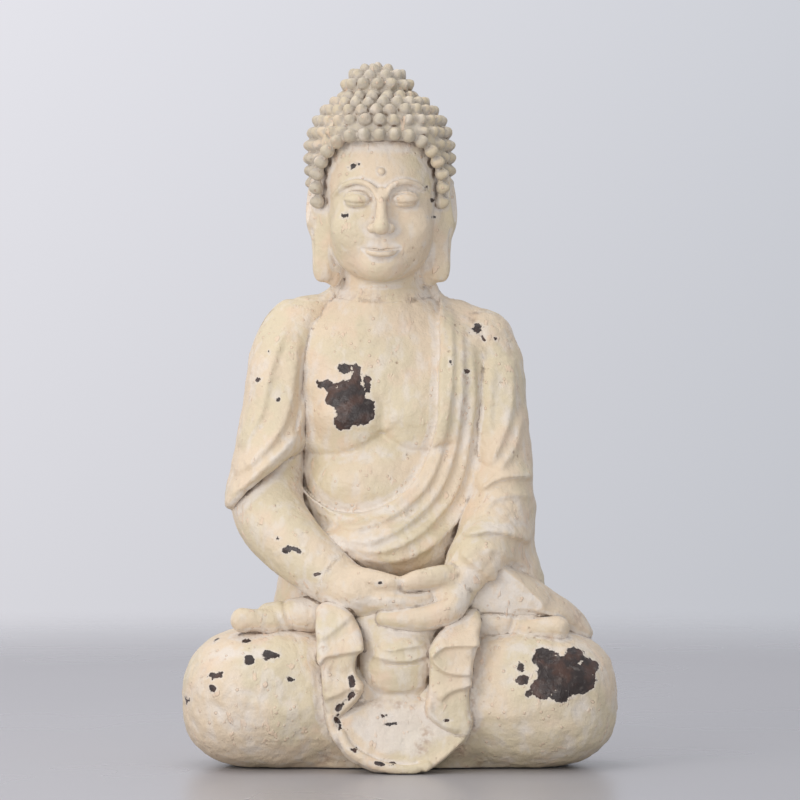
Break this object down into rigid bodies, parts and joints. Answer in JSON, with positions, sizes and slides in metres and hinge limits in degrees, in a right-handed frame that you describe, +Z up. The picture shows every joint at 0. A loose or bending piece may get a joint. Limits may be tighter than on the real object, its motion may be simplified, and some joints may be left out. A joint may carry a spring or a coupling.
{
  "type": "seated buddha statue",
  "caption": "Seated meditating figure with curled hair, draped robe and hands in the lap, cast in pinned sections with a screwed base board and floor pads.",
  "frame": {"origin": "on the floor, under the middle of the figure", "axes": "+Z up; the figure faces -Y; its right arm is on the -X side"},
  "size_m": [0.372, 0.246, 0.6],
  "materials": {
    "cast_paint": "satin cream paint over a dark brown base coat on cast fibre cement, whitewashed in the creases and chipped",
    "hair_paint": "satin cream paint, a little greyer, brown wash between the curls",
    "dowel_wood": "plain beech dowel",
    "base_board": "dark stained plywood board",
    "screw_steel": "zinc plated steel",
    "pad_rubber": "matt black rubber"
  },
  "bodies": {
    "root": {"lap_casting": "cast_paint", "torso_casting": "cast_paint", "head_casting": "cast_paint", "urna": "cast_paint", "right_sleeve": "cast_paint", "left_sleeve": "cast_paint", "right_forearm": "cast_paint", "left_sleeve_drape": "cast_paint", "right_hand": "cast_paint", "left_hand": "cast_paint", "right_foot": "cast_paint", "left_foot": "cast_paint", "robe_apron": "cast_paint", "right_robe_fold": "cast_paint", "left_robe_fold": "cast_paint", "topknot_curls": "hair_paint", "hair_cap_curls": "hair_paint", "neck_dowel": "dowel_wood", "right_waist_dowel": "dowel_wood", "left_waist_dowel": "dowel_wood", "base_plate": "base_board", "base_screw_1": "screw_steel", "base_screw_2": "screw_steel", "base_screw_3": "screw_steel", "base_screw_4": "screw_steel", "base_screw_5": "screw_steel", "base_screw_6": "screw_steel", "floor_pad_1": "pad_rubber", "floor_pad_2": "pad_rubber", "floor_pad_3": "pad_rubber", "floor_pad_4": "pad_rubber"}
  },
  "joints": []
}
